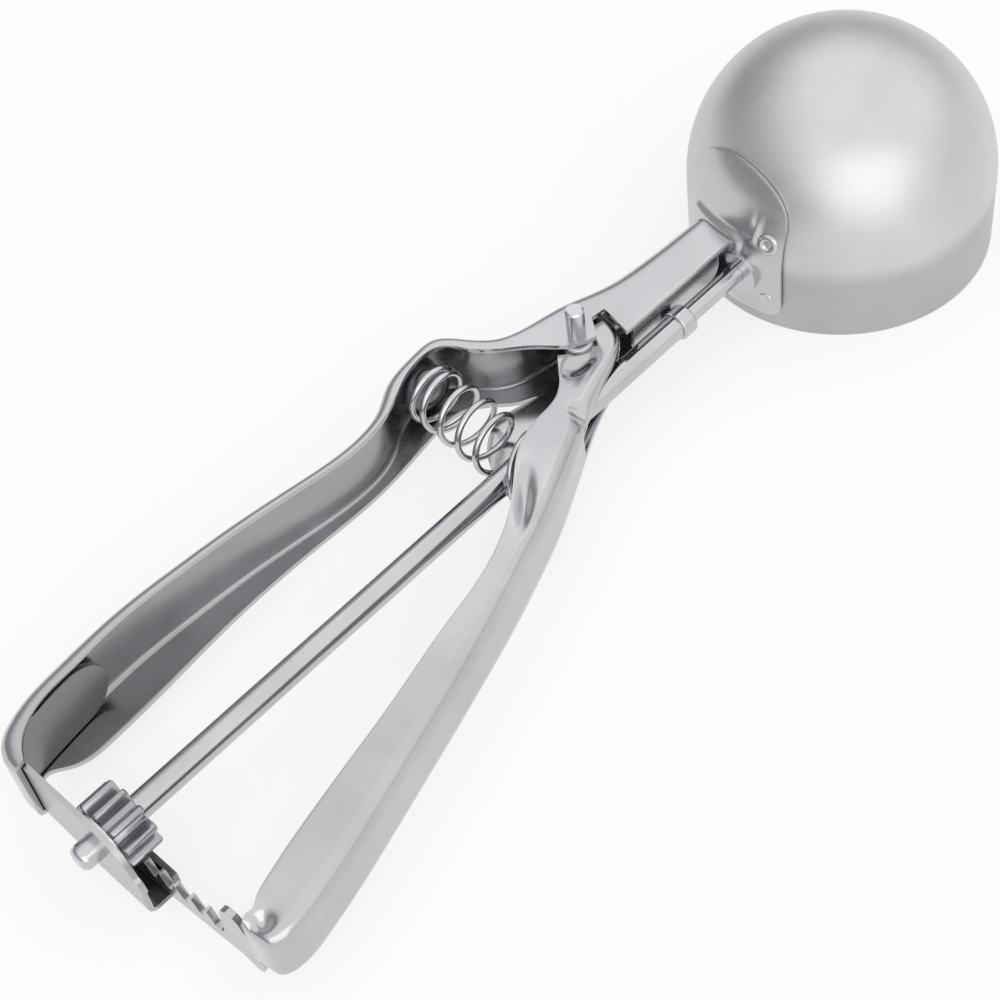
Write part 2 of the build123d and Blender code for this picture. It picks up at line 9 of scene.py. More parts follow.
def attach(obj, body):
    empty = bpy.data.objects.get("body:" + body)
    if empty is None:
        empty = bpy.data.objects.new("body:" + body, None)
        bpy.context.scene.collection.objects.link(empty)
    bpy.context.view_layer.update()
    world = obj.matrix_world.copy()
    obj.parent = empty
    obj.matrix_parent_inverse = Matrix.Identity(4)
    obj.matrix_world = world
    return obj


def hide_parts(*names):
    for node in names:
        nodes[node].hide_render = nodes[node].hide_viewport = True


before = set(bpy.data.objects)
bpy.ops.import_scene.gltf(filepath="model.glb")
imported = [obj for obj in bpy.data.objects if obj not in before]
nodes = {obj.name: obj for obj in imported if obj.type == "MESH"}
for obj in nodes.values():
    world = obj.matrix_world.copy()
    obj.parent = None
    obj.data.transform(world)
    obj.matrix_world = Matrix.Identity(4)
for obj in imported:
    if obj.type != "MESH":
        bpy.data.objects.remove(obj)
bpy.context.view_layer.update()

# ---- bowl --------------------------------------------------------------------
# The bowl is drawn from one disc of stainless sheet: a round dome on a straight skirt,
# 0.8 mm thick, spun smooth and brushed round and round. Its rim is turned and eased.
shaft_place = np.array([78.95, 4.2, 12.0])   # the drive shaft's axis and the bowl's middle, mm
upright = (0, 0, 1)
bowl_radius = 28.6
bowl_wall = 0.8
rim_round = bowl_wall / 2
dome_rise = 3.0                              # the dome's centre over the shaft's axis
rim_z = -12.0
same_point = 2e-6                            # metres within which two points are one


def place(points):
    """Millimetres about the drive shaft's axis to metres about the scoop's origin: add the
    axis's place, then divide by a thousand."""
    return (np.asarray(points, float) + shaft_place) / 1000.0


def grid_piece(name, grid, round_columns=False, keep=None, flip=False):
    """A piece from a grid of points, rows by columns: each four neighbours make one face, and
    the last column joins the first where the form is closed. keep masks the faces, and flip
    turns them over, so that a sheet's thickness goes to the other side."""
    rows, columns = grid.shape[:2]
    number = np.arange(rows * columns).reshape(rows, columns)
    if round_columns:
        number = np.hstack([number, number[:, :1]])
    faces = np.stack([number[:-1, :-1], number[1:, :-1], number[1:, 1:], number[:-1, 1:]],
                     axis=-1)
    faces = faces.reshape(-1, 4) if keep is None else faces[keep]
    if flip:
        faces = faces[:, ::-1]
    mesh = bpy.data.meshes.new(name)
    mesh.from_pydata(place(grid).reshape(-1, 3).tolist(), [], faces.tolist())
    tidy = bmesh.new()
    tidy.from_mesh(mesh)
    bmesh.ops.remove_doubles(tidy, verts=tidy.verts, dist=same_point)
    loose = [v for v in tidy.verts if not v.link_faces]
    bmesh.ops.delete(tidy, geom=loose, context="VERTS")
    tidy.to_mesh(mesh)
    tidy.free()
    mesh.polygons.foreach_set("use_smooth", np.ones(len(mesh.polygons), bool))
    piece = bpy.data.objects.new(name, mesh)
    bpy.context.scene.collection.objects.link(piece)
    return piece


def turned(profile, centre, axis, count):
    """Surface of revolution: each profile point (radius, distance along the axis) goes round
    the axis as centre + distance * axis + radius * (cos a * side + sin a * up)."""
    axis = np.asarray(axis, float) / np.linalg.norm(axis)
    side = np.cross(axis, (0.0, 0.0, 1.0) if abs(axis[2]) < 0.9 else (0.0, 1.0, 0.0))
    side /= np.linalg.norm(side)
    up = np.cross(axis, side)
    angle = np.linspace(0, 2 * np.pi, count, endpoint=False)
    ring = np.cos(angle)[:, None] * side + np.sin(angle)[:, None] * up
    profile = np.asarray(profile, float)
    return centre + profile[:, None, 1:] * axis + profile[:, None, :1] * ring[None]


def bowl_profile():
    """Outer dome R(cos e, sin e) and skirt, a half-round rim, then the same inside."""
    lift = np.linspace(np.pi / 2, 0, 46)
    outer = np.c_[bowl_radius * np.cos(lift), dome_rise + bowl_radius * np.sin(lift)]
    skirt = np.c_[np.full(14, bowl_radius), np.linspace(dome_rise, rim_z + rim_round, 15)[1:]]
    turn = np.linspace(0, np.pi, 8)[1:-1]
    rim = np.c_[bowl_radius - rim_round + rim_round * np.cos(turn),
                rim_z + rim_round - rim_round * np.sin(turn)]
    inner = np.vstack([outer, skirt])[::-1]
    inner[:, 0] *= (bowl_radius - bowl_wall) / bowl_radius
    above = inner[:, 1] > dome_rise
    inner[above, 1] = dome_rise + (inner[above, 1] - dome_rise) * (1 - bowl_wall / bowl_radius)
    return np.vstack([outer, skirt, rim, inner])


def metal(name, colour, roughness, uneven, grain, grain_depth, dark=0.88):
    """Polished or brushed steel. Broad clouds move the tone between the colour and that colour
    times dark, and the roughness by uneven either way. Fine grain, of as many lines per metre
    along x, y and z as the three numbers of grain say, lifts the surface by grain_depth metres."""
    made = bpy.data.materials.new(name)
    made.use_nodes = True
    tree = made.node_tree
    shader = tree.nodes["Principled BSDF"]
    shader.inputs["Metallic"].default_value = 1.0
    spot = tree.nodes.new("ShaderNodeTexCoord")
    clouds = tree.nodes.new("ShaderNodeTexNoise")
    clouds.inputs["Scale"].default_value = 70.0
    clouds.inputs["Detail"].default_value = 4.0
    tree.links.new(spot.outputs["Object"], clouds.inputs["Vector"])
    tone = tree.nodes.new("ShaderNodeValToRGB")
    tone.color_ramp.elements[0].position = 0.3
    tone.color_ramp.elements[0].color = [c * dark for c in colour] + [1]
    tone.color_ramp.elements[1].position = 0.7
    tone.color_ramp.elements[1].color = list(colour) + [1]
    tree.links.new(clouds.outputs["Fac"], tone.inputs["Fac"])
    tree.links.new(tone.outputs["Color"], shader.inputs["Base Color"])
    stretch = tree.nodes.new("ShaderNodeMapping")
    stretch.inputs["Scale"].default_value = grain
    tree.links.new(spot.outputs["Object"], stretch.inputs["Vector"])
    lines = tree.nodes.new("ShaderNodeTexNoise")
    lines.inputs["Scale"].default_value = 1.0
    lines.inputs["Detail"].default_value = 3.0
    tree.links.new(stretch.outputs["Vector"], lines.inputs["Vector"])
    mix = tree.nodes.new("ShaderNodeMath")
    mix.operation = "ADD"
    tree.links.new(clouds.outputs["Fac"], mix.inputs[0])
    tree.links.new(lines.outputs["Fac"], mix.inputs[1])
    gloss = tree.nodes.new("ShaderNodeMapRange")
    gloss.inputs["From Min"].default_value = 0.6
    gloss.inputs["From Max"].default_value = 1.4
    gloss.inputs["To Min"].default_value = roughness - uneven
    gloss.inputs["To Max"].default_value = roughness + uneven
    tree.links.new(mix.outputs["Value"], gloss.inputs["Value"])
    tree.links.new(gloss.outputs["Result"], shader.inputs["Roughness"])
    relief = tree.nodes.new("ShaderNodeBump")
    relief.inputs["Strength"].default_value = 1.0
    relief.inputs["Distance"].default_value = grain_depth
    tree.links.new(lines.outputs["Fac"], relief.inputs["Height"])
    tree.links.new(relief.outputs["Normal"], shader.inputs["Normal"])
    return made


def spun_steel(name, colour, roughness):
    """Brushed bowl steel: the grain is noise over the distance from the bowl's upright axis
    and the height, so that its lines run round the bowl; painted shade on the skirt is added by
    shaded_along."""
    made = metal(name, colour, roughness, 0.05, (1, 1, 1), 0.00001)
    tree = made.node_tree
    lines = [n for n in tree.nodes if n.bl_idname == "ShaderNodeTexNoise"][1]
    centred = [n for n in tree.nodes if n.bl_idname == "ShaderNodeMapping"][0]
    centred.inputs["Location"].default_value = [-c / 1000 for c in shaft_place]
    parts = tree.nodes.new("ShaderNodeSeparateXYZ")
    tree.links.new(centred.outputs["Vector"], parts.inputs["Vector"])
    across = tree.nodes.new("ShaderNodeCombineXYZ")
    tree.links.new(parts.outputs["X"], across.inputs["X"])
    tree.links.new(parts.outputs["Y"], across.inputs["Y"])
    radius = tree.nodes.new("ShaderNodeVectorMath")
    radius.operation = "LENGTH"
    tree.links.new(across.outputs["Vector"], radius.inputs[0])
    rings = tree.nodes.new("ShaderNodeCombineXYZ")
    tree.links.new(radius.outputs["Value"], rings.inputs["X"])
    tree.links.new(parts.outputs["Z"], rings.inputs["Z"])
    tree.links.new(rings.outputs["Vector"], lines.inputs["Vector"])
    lines.inputs["Scale"].default_value = 2600.0
    return made


def shaded_along(made, axis, low, high, low_tone, high_tone):
    """Paints shade into a metal's colour: multiplies it by a tone that passes smoothly from
    low_tone to high_tone between two places, in metres, along one axis."""
    tree = made.node_tree
    shader = tree.nodes["Principled BSDF"]
    spot = tree.nodes.new("ShaderNodeTexCoord")
    parts = tree.nodes.new("ShaderNodeSeparateXYZ")
    tree.links.new(spot.outputs["Object"], parts.inputs["Vector"])
    belt = tree.nodes.new("ShaderNodeMapRange")
    belt.interpolation_type = "SMOOTHSTEP"
    for key, value in (("From Min", low), ("From Max", high),
                       ("To Min", low_tone), ("To Max", high_tone)):
        belt.inputs[key].default_value = value
    tree.links.new(parts.outputs[axis], belt.inputs["Value"])
    shade = tree.nodes.new("ShaderNodeVectorMath")
    shade.operation = "SCALE"
    tree.links.new(shader.inputs["Base Color"].links[0].from_socket, shade.inputs[0])
    tree.links.new(belt.outputs["Result"], shade.inputs["Scale"])
    tree.links.new(shade.outputs["Vector"], shader.inputs["Base Color"])
    return made


bowl = grid_piece("bowl_shell", turned(bowl_profile(), np.zeros(3), upright, 192),
                  round_columns=True)
painted_shade_below, no_painted_shade_above = 0.0122, 0.0176  # metres over the table, about the skirt's top; painted shade darkens the colour below
# Painted shade: the bowl's colour falls to 0.76 below the skirt's top and stays full above it.
bowl_steel = shaded_along(spun_steel("spun_bowl_steel_with_painted_shade", (0.67, 0.67, 0.68), 0.40),
                          "Z", painted_shade_below, no_painted_shade_above, 0.76, 1.0)
bowl.data.materials.append(bowl_steel)
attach(bowl, "frame")
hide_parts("bowl")

# ---- saddle plate ------------------------------------------------------------
# A gate-shaped plate of sheet steel, spot-welded and riveted to the bowl, with its face 1 mm
# off the bowl's. It is pressed to the bowl's curve and raised in a collar round the shank.
saddle_radius = bowl_radius + 1.0
saddle_low_y, saddle_high_y = -8.6, 15.8
saddle_floor_z, saddle_shoulder_z, saddle_top_z = -8.5, 12.0, 20.5
saddle_corner = 3.0
shank_middle_y, shank_half_y, shank_half_z = 6.2, 4.9, 6.6
collar_height, collar_full, collar_gone = 0.9, 0.9, 2.6      # lift, and its reach off the shank


def eased(value, low, high):
    """Smooth step from 0 at low to 1 at high: 3t^2 - 2t^3."""
    t = np.clip((value - low) / (high - low), 0, 1)
    return t * t * (3 - 2 * t)


def saddle_sheet():
    """Outer face over a grid of side place y and height z. The top edge is half an ellipse
    and the bottom corners are quarter rounds; x = -sqrt(r^2 - y^2 - rise^2), less the
    collar's lift, which falls off with the distance from the shank's end, and less a raised
    crease above the shank and a low bump beside it, both bell-shaped, height * exp(-d^2)."""
    middle = (saddle_low_y + saddle_high_y) / 2
    half = (saddle_high_y - saddle_low_y) / 2
    turn = np.linspace(0, np.pi, 71)
    y = middle - half * np.cos(turn)
    corner = np.clip((np.abs(y - middle) - (half - saddle_corner)) / saddle_corner, 0, 1)
    floor = saddle_floor_z + saddle_corner * (1 - np.sqrt(1 - corner ** 2))
    top = saddle_shoulder_z + (saddle_top_z - saddle_shoulder_z) * np.sin(turn)
    share = np.linspace(0, 1, 60)[:, None]
    z = floor + (top - floor) * share
    y = np.broadcast_to(y, z.shape)
    rise = np.maximum(z - dome_rise, 0)
    off_y = np.maximum(np.abs(y - shank_middle_y) - shank_half_y, 0)
    off_z = np.maximum(np.abs(z) - shank_half_z, 0)
    away = np.hypot(off_y, off_z)
    lift = collar_height * (1 - eased(away, collar_full, collar_gone)) * eased(z, -9.0, -5.0)
    crease_height, crease_width = 0.55, 0.7
    off_crease = (y + 2.9 + 0.12 * (z - 10)) / crease_width
    crease = (crease_height * np.exp(-off_crease ** 2)
              * eased(z, 7.5, 9.5) * (1 - eased(z, 11.5, 15.0)))
    bump_height, bump_y, bump_z, bump_width = 0.8, -2.2, 4.4, 2.0
    bump = bump_height * np.exp(-((y - bump_y) ** 2 + (z - bump_z) ** 2) / bump_width ** 2)
    x = -np.sqrt(saddle_radius ** 2 - y ** 2 - rise ** 2) - lift - crease - bump
    return np.stack([x, y, z], axis=-1)


def eased_edges(piece, width, degrees):
    """Rounds each edge that turns by more than some degrees, over width metres."""
    ease = piece.modifiers.new("eased_edges", "BEVEL")
    ease.width = width
    ease.segments = 2
    ease.limit_method = "ANGLE"
    ease.angle_limit = radians(degrees)


def sheet_walls(piece, thickness, edge=0.00016, offset=-1.0, inside=0):
    """Gives a surface its sheet thickness, inwards, and eases the cut edges; inside is the
    material slot of the inner face. Offset 0 puts half the thickness on either side."""
    wall = piece.modifiers.new("wall", "SOLIDIFY")
    wall.thickness = thickness
    wall.offset = offset
    wall.material_offset = inside
    eased_edges(piece, edge, 50)
    return piece


thin_sheet, handle_sheet = 0.0008, 0.0010    # metres
saddle = sheet_walls(grid_piece("saddle_sheet", saddle_sheet()), thin_sheet)
satin_steel = metal("satin_sheet_steel", (0.60, 0.60, 0.615), 0.25, 0.05,
                    (160, 1900, 1900), 0.000006)
saddle.data.materials.append(satin_steel)
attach(saddle, "frame")
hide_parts("saddle_plate")

# ---- rivets, bush and far pivot ----------------------------------------------
# Bright turned and headed parts: a dished eyelet above, a shallow rivet below it, the
# bush that the blade rod turns in, and the rivet with its washer at the bowl's far side.
bright_steel = metal("bright_turned_steel", (0.62, 0.62, 0.64), 0.15, 0.05,
                     (900, 900, 900), 0.000004)


def dress(made, *names):
    """Gives solids that are shown as they are one metal in place of their own."""
    for name in names:
        nodes[name].data.materials.clear()
        nodes[name].data.materials.append(made)


dress(bright_steel, "shaft_bush", "far_pivot_rivet", "far_pivot_washer")

rivet_y = -5.8
eyelet_z, shallow_rivet_z = 9.0, -4.4
eyelet_profile = [(0, -0.3), (0.6, -0.25), (0.85, 0.3), (1.2, 0.55), (1.7, 0.5), (2.05, 0.2),
                  (2.15, -0.5), (0, -0.5)]
rivet_profile = [(0, 0.0), (0.5, 0.03), (0.8, 0.22), (1.1, 0.28), (1.35, 0.1), (1.4, -0.4),
                 (0, -0.4)]
for name, profile, height, node in (
        ("eyelet", eyelet_profile, eyelet_z, "eyelet_rivets"),
        ("shallow_rivet", rivet_profile, shallow_rivet_z, "saddle_rivets")):
    rise = max(height - dome_rise, 0.0)
    seat_on = np.array([-(saddle_radius ** 2 - rivet_y ** 2 - rise ** 2) ** 0.5, rivet_y, height])
    outward = np.array([seat_on[0], seat_on[1], rise])
    headed = grid_piece(name, turned(profile, seat_on, outward, 48), round_columns=True)
    headed.data.materials.append(bright_steel)
    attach(headed, "frame")
    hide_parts(node)

# ---- fixed handle ------------------------------------------------------------
# One stamping of 1 mm sheet bent to a channel: the grip, a lobe that seats the spring, the
# two pivot ears and the shank to the bowl. Its tail is turned down behind the cross plate.
def fair_curve(points, where):
    """Smooth curve through points at places given in point numbers, 2.5 being halfway from
    the third to the fourth: cubic spans whose slopes and bends meet, straight at both ends."""
    points = np.asarray(points, float)
    count = len(points)
    step = np.maximum(np.linalg.norm(np.diff(points, axis=0), axis=1), 1e-6)
    matrix = np.eye(count)
    load = np.zeros_like(points)
    inside = np.arange(1, count - 1)
    matrix[inside, inside - 1] = step[:-1]
    matrix[inside, inside] = 2 * (step[:-1] + step[1:])
    matrix[inside, inside + 1] = step[1:]
    slope = np.diff(points, axis=0) / step[:, None]
    load[1:-1] = 6 * (slope[1:] - slope[:-1])
    bend = np.linalg.solve(matrix, load)
    where = np.asarray(where, float)
    span = np.clip(where.astype(int), 0, count - 2)
    b = (where - span)[:, None]
    a = 1 - b
    h = step[span][:, None]
    return (a * points[span] + b * points[span + 1]
            + ((a ** 3 - a) * bend[span] + (b ** 3 - b) * bend[span + 1]) * h * h / 6)


def corner_line(knots, where):
    """Straight-sided line through knots of (place, x, y), for cut edges with corners."""
    knots = np.asarray(knots, float)
    return np.c_[np.interp(where, knots[:, 0], knots[:, 1]),
                 np.interp(where, knots[:, 0], knots[:, 2])]


def channel(web, upper, lower, high, low, bend, web_rows=10):
    """Bent channel: at each station the upper flange runs in from its cut edge, turns down
    through a quarter round, follows the web and turns in again to the lower cut edge. Each
    row is web + inset * direction to the cut edge, at the row's height. The round's radius is
    bend, but no more than most_of_flange times the flange's width."""
    most_of_flange = 0.8
    reach = np.linspace(0, 1, 12)[:, None]
    turn = np.linspace(0, np.pi / 2, 8)[1:-1, None]

    def half(edge, top, sign):
        width = np.linalg.norm(edge - web, axis=1)
        into = (edge - web) / np.maximum(width, 1e-6)[:, None]
        radius = np.minimum(bend, most_of_flange * width)
        flat = width - (width - radius) * reach
        arc = radius * (1 - np.sin(turn))
        inset = np.vstack([flat, arc, np.zeros((1, len(web)))])
        level = np.vstack([np.broadcast_to(top, flat.shape),
                           top - sign * radius * (1 - np.cos(turn)),
                           (top - sign * radius)[None]])
        rows = web[None] + inset[..., None] * into[None]
        return np.concatenate([rows, level[..., None]], axis=2)

    above = half(upper, high, 1.0)
    below = half(lower, low, -1.0)[::-1]
    share = np.linspace(0, 1, web_rows)[1:-1, None, None]
    wall = above[-1][None] * (1 - share) + below[0][None] * share
    return np.concatenate([above, wall, below])


web_points = [(-184.8, 15.6), (-184.8, 18.8), (-183.2, 22.0), (-178.6, 24.5), (-168.5, 26.1),
              (-157.0, 26.8), (-143.0, 26.2), (-130.0, 25.0), (-117.0, 23.1), (-106.0, 22.2),
              (-98.2, 23.9), (-92.8, 26.9), (-86.0, 28.25), (-79.8, 27.8), (-76.6, 23.8),
              (-72.5, 18.9), (-61.0, 15.9), (-53.0, 13.3), (-42.0, 11.6), (-34.0, 11.2),
              (-23.5, 10.9)]
upper_points = [(-182.8, 15.6), (-182.0, 17.0), (-180.2, 19.2), (-176.6, 21.6), (-167.6, 23.2),
                (-157.0, 24.2), (-143.0, 23.9), (-130.0, 22.9), (-117.0, 21.1), (-106.0, 20.1),
                (-96.6, 21.9), (-91.4, 24.4), (-85.4, 26.0), (-81.0, 25.2), (-78.2, 20.8),
                (-74.6, 16.2), (-70.4, 12.0), (-66.0, 6.8), (-61.9, 5.0)]
lower_points = [(-183.2, 15.6), (-182.2, 17.4), (-179.4, 20.7), (-175.8, 18.8), (-168.0, 17.4),
                (-157.0, 18.0), (-143.0, 19.1), (-130.0, 19.5), (-117.0, 19.1), (-106.0, 18.8),
                (-97.0, 19.6), (-91.5, 20.4), (-85.2, 21.0), (-81.0, 20.0), (-77.6, 17.2),
                (-74.6, 14.2), (-70.8, 11.8), (-66.2, 6.8), (-61.9, 5.0)]
shank_bend_x, shank_end_x = -42.0, -23.5
shank_gap = 0.1                              # between the shank's end and the saddle


def fixed_handle_sheet():
    """Outer face of the fixed handle: the web's outline and the two cut edges are fair
    curves through matching points; past the ears the cut edge has the notch and the shank,
    whose last stretch is drawn out to x = -sqrt(r^2 - y^2 - rise^2), the saddle's face."""
    where = np.unique(np.r_[np.linspace(0, 16, 260), np.linspace(16, 20, 90),
                            16.32, 16.34, 17.0, 17.02])
    web = fair_curve(web_points, where)
    ear_end = 16.15
    notch = [(ear_end, -61.9, 5.0), (16.33, -59.4, 8.7), (16.95, -56.4, 8.3)]
    upper_cut = notch + [(17.02, -58.0, 1.6), (18, -42, 1.5), (20, -23.5, 1.5)]
    lower_cut = notch + [(17.02, -56.0, 5.2), (18, -42, 4.8), (20, -23.5, 4.8)]
    ear_place = np.interp(where, [0, 15, 15.5, 15.85, ear_end], [0, 15, 16, 17, 18])
    before = (where < ear_end)[:, None]
    upper = np.where(before, fair_curve(upper_points, ear_place), corner_line(upper_cut, where))
    lower = np.where(before, fair_curve(lower_points, ear_place), corner_line(lower_cut, where))
    height = np.interp(web[:, 0], [-178, -165, -150, -130, -110, -98],
                       [7.8, 7.75, 7.6, 7.3, 7.08, 7.0])
    bend = np.interp(web[:, 0], [-180, -150, -110, -70, -50], [3.0, 2.6, 2.0, 1.8, 3.0])
    grid = channel(web, upper, lower, height, -height, bend)
    x, y, z = grid[..., 0], grid[..., 1], grid[..., 2]
    bowl_face = -np.sqrt(np.maximum((saddle_radius + shank_gap) ** 2 - y ** 2
                                    - np.maximum(z - dome_rise, 0) ** 2, 0))
    past = np.maximum(x - shank_bend_x, 0) / (shank_end_x - shank_bend_x)
    grid[..., 0] = np.where(past > 0, shank_bend_x + past * (bowl_face - shank_bend_x), x)
    return grid


fixed_handle = sheet_walls(grid_piece("fixed_handle_sheet", fixed_handle_sheet(), flip=True),
                           handle_sheet, inside=1)
grip_steel = metal("polished_grip_steel", (0.55, 0.55, 0.565), 0.18, 0.05,
                   (120, 1500, 1500), 0.000006)
fixed_handle.data.materials.append(grip_steel)
# The channel's inner face gets a darker steel colour: painted shade inside the channel.
inside_painted_shade_steel = metal("inside_face_painted_shade_steel", (0.42, 0.42, 0.435), 0.26, 0.06,
                     (120, 1200, 1200), 0.000008, 0.8)
fixed_handle.data.materials.append(inside_painted_shade_steel)
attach(fixed_handle, "frame")
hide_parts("fixed_handle")

# ---- shank fold --------------------------------------------------------------
# A strip of the fixed handle's own sheet: the shank's cut edge is folded down beside the
# shaft, which leaves a narrow dark seam between the two.
fold_start_x, fold_end_x, fold_y = -55.0, -31.6, 3.05
fold_top_z, fold_low_z, fold_corner = 6.3, -1.5, 2.6


def shank_fold():
    """Upright strip beside the shaft over the distance along it and the height; the end at
    the bowl is rounded by r - sqrt(r^2 - d^2)."""
    x = np.linspace(fold_start_x, fold_end_x, 60)
    near_end = np.clip((x - (fold_end_x - fold_corner)) / fold_corner, 0, 1)
    lift = fold_corner * (1 - np.sqrt(1 - near_end ** 2))
    share = np.linspace(0, 1, 9)[:, None]
    z = fold_top_z - lift + (fold_low_z - fold_top_z + 2 * lift) * share
    return np.stack([np.broadcast_to(x, z.shape), np.broadcast_to(fold_y, z.shape), z], axis=-1)


fold = sheet_walls(grid_piece("shank_fold", shank_fold()), thin_sheet)
fold.data.materials.append(satin_steel)
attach(fold, "frame")

# ---- spring seat -------------------------------------------------------------
# A dished round button of pressed steel, set into the lobe of the fixed handle. The spring's
# first coil sits round it.
spring_top = np.array([-85.8, 23.5, 0.0])
spring_low = np.array([-88.2, -6.6, 0.0])
spring_axis = (spring_low - spring_top) / np.linalg.norm(spring_low - spring_top)
seat_profile = [(0, 0.8), (1.2, 0.7), (2.4, 0.1), (3.4, -0.2), (4.0, 0.0), (4.3, -0.5),
                (4.4, -1.4), (4.4, -3.4), (0, -3.4)]
seat = grid_piece("spring_seat", turned(seat_profile, spring_top, spring_axis, 72),
                  round_columns=True)
seat.data.materials.append(metal("dull_pressed_steel", (0.26, 0.26, 0.275), 0.30, 0.07,
                                 (700, 700, 700), 0.00002))
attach(seat, "frame")

# ---- tail bracket ------------------------------------------------------------
# A strip of the same sheet: its leg lies inside the grip, it crosses behind the pinion with
# the shaft's hole in it, and it ends in the hook that the rack slides through.
cross_plate_to, leg_painted_shade_from = -0.1034, -0.1026      # metres along the scoop; past the cross plate the leg has painted shade
bracket_steel = metal("matt_bracket_steel_leg_painted_shade", (0.52, 0.52, 0.535), 0.30, 0.05,
                      (1200, 200, 1200), 0.000006)
# Painted shade: the bracket's leg inside the grip is darkened to half its colour.
dress(shaded_along(bracket_steel, "X", cross_plate_to, leg_painted_shade_from, 1.0, 0.5), "tail_bracket")

# ---- moving handle -----------------------------------------------------------
# The second stamping: two eyes on the pivot pin, a wide shelf under the spring, the grip,
# and an end wall turned in to carry the rack. The shaft passes through a window in it.
lever_web = [(-55.8, 10.8), (-57.6, 4.0), (-66.6, -0.7), (-75.0, -4.4), (-83.5, -8.8),
             (-92.0, -12.9), (-103.5, -17.3), (-116.0, -21.6), (-128.0, -25.4), (-140.0, -28.8),
             (-151.5, -32.0), (-163.0, -35.0), (-169.5, -36.4), (-174.6, -36.96), (-178.4, -35.6),
             (-178.9, -32.46), (-178.9, -30.2)]
lever_upper = [(-65.0, 11.6), (-68.6, 8.6), (-71.8, 5.2), (-76.0, 2.2), (-81.8, 1.0),
               (-88.2, -1.0), (-97.2, -7.6), (-109.8, -13.9), (-123.6, -17.0), (-137.0, -20.2),
               (-149.0, -22.7), (-161.0, -25.2), (-167.0, -26.6), (-171.4, -27.8), (-174.6, -29.0),
               (-176.4, -29.8), (-177.3, -29.6)]
lever_lower = [(-65.0, 11.6), (-71.0, 10.8), (-76.0, 12.0), (-82.0, 12.6), (-87.6, 8.8),
               (-91.2, 0.4), (-96.0, -8.6), (-108.5, -15.4), (-124.0, -18.6), (-137.0, -22.0),
               (-149.0, -24.7), (-161.0, -27.4), (-167.0, -28.8), (-171.4, -29.8), (-174.6, -30.6),
               (-176.4, -31.0), (-177.3, -30.2)]
window_low_x, window_high_x, window_half_z = -78, -57.0, 2.7
dish_depth, dimple_depth, weld_depth, hollow_depth = 1.5, 1.8, 0.8, 1.5


def moving_handle_sheet():
    """Outer face of the moving handle, from the eyes to the end wall. The upper flange is
    dished where it narrows beside the spring, hollow by the eye, wrinkled by the weld across
    the neck and pressed in at the far corner, each by a bell-shaped drop, depth * exp(-d^2)."""
    where = np.linspace(0, 16, 420)
    web = fair_curve(lever_web, where)
    upper = fair_curve(lever_upper, where)
    lower = fair_curve(lever_lower, where)
    height = 5.2 + 1.75 * eased(-web[:, 0], 68, 96) - 0.55 * eased(-web[:, 0], 96, 122)
    bend = 1.6 + 1.9 * eased(-web[:, 0], 60, 92) - 0.9 * eased(-web[:, 0], 110, 168)
    rows = channel(web, upper, lower, height, -height, bend, web_rows=13)
    x, y, z = rows[..., 0], rows[..., 1], rows[..., 2]

    def along_and_across(centre_x, centre_y, run_x, run_y):
        """Distances from a centre along a line of that direction, and square to it."""
        off_x, off_y = x - centre_x, y - centre_y
        return off_x * run_x + off_y * run_y, off_y * run_x - off_x * run_y

    along, across = along_and_across(-96.0, -9.4, 0.77, 0.64)
    dish = np.exp(-(along / 5.5) ** 2 - (across / 1.2) ** 2)
    along, across = along_and_across(-176.6, -32.3, 1, 0)
    dimple = np.exp(-(along / 1.7) ** 2 - (across / 1.6) ** 2)
    along, across = along_and_across(-76.4, -3.8, 0.55, 0.83)
    wrinkles = 1 + 0.28 * np.sin(3.4 * along - 1.5 * across)
    weld = np.exp(-(across / 1.15) ** 2 - (along / 2.6) ** 4) * wrinkles
    along, across = along_and_across(-67.2, 4.4, 1, 0)
    hollow = np.exp(-(along / 3.4) ** 2 - (across / 1.8) ** 2)
    upper_flange = z > 3
    rows[..., 2] -= upper_flange * (dish_depth * dish + dimple_depth * dimple
                                    + weld_depth * weld + hollow_depth * hollow)
    return rows


lever_grid = moving_handle_sheet()
face_middle = (lever_grid[:-1, :-1] + lever_grid[1:, 1:]) / 2
window = ((face_middle[..., 0] > window_low_x) & (face_middle[..., 0] < window_high_x)
          & (np.abs(face_middle[..., 2]) < window_half_z))
moving_handle = sheet_walls(grid_piece("moving_handle_sheet", lever_grid, keep=~window, flip=True),
                            handle_sheet)
moving_handle.data.materials.append(grip_steel)
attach(moving_handle, "lever")
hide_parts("moving_handle")

# ---- rack --------------------------------------------------------------------
# The blanked end of the moving handle, 1.2 mm thick: seven teeth, a round stop tab standing
# above them and a foot below that reaches the table.
rack_x, rack_tilt = -179.4, radians(3.0)
rack_sheet_thickness = 0.0012                # metres
rack_start, teeth_end, tab_start, rack_end = -3.45, 20.6, 21.6, 33.2
finer_from = 21.5                            # closer rows from here on, for the tab and foot
tooth_pitch, first_tooth = np.pi * 1.1, -1.728
tooth_half_top, flank_slope = 0.27, 0.36
tip_z, root_z, backing_z = -4.5, -7.475, -10.575


